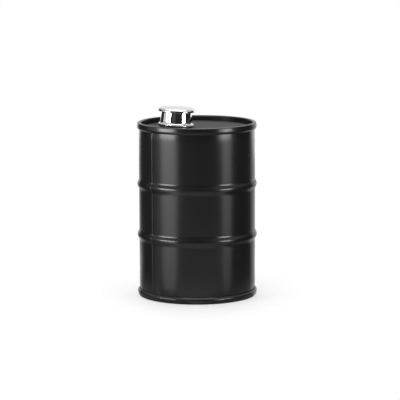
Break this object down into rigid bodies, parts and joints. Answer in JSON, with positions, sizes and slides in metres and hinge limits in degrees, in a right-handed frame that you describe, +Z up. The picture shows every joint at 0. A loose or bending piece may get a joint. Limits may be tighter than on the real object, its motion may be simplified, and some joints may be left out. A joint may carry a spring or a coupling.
{
  "type": "miniature steel drum flask",
  "caption": "Flask in the form of a steel oil drum, with rolling hoops, rolled chimes, recessed heads and a chromed spool-shaped screw cap on an offset filler neck.",
  "frame": {"origin": "on the drum's axis at the plane its bottom chime stands on", "axes": "+Z up along the drum's axis; the filler neck lies towards -X, and the side seam is at 220 degrees from +X"},
  "size_m": [0.0928, 0.0928, 0.1466],
  "materials": {
    "black_paint": "semi-gloss black enamel on sheet steel",
    "seam_compound": "dull cured sealing compound",
    "spout_steel": "turned stainless steel",
    "braze": "silver braze, smooth",
    "cap_chrome": "polished chrome plate",
    "liner_plastic": "natural moulded plastic",
    "silicone": "matt translucent silicone"
  },
  "bodies": {
    "drum": {"body_shell": "black_paint", "side_seam": "black_paint", "top_head": "black_paint", "bottom_head": "black_paint", "top_seam_compound": "seam_compound", "bottom_seam_compound": "seam_compound", "filler_neck": "spout_steel", "neck_braze": "braze"},
    "seal": {"cap_seal": "silicone"},
    "cap": {"cap_shell": "cap_chrome", "cap_insert": "liner_plastic"}
  },
  "joints": [
    {"name": "cap_lift", "type": "slide", "parent": "drum", "child": "seal", "axis": [0.0558, 0, 0.9984], "range_m": [0, 0.0151]},
    {"name": "cap_turn", "type": "hinge", "parent": "seal", "child": "cap", "pos_m": [-0.0162, -0.001, 0.1312], "axis": [0.0558, 0, 0.9984], "range_deg": [0, 2160]}
  ],
  "couplings": [
    {"joint": "cap_lift", "follows": "cap_turn", "m_per_rad": 0.00039789}
  ]
}
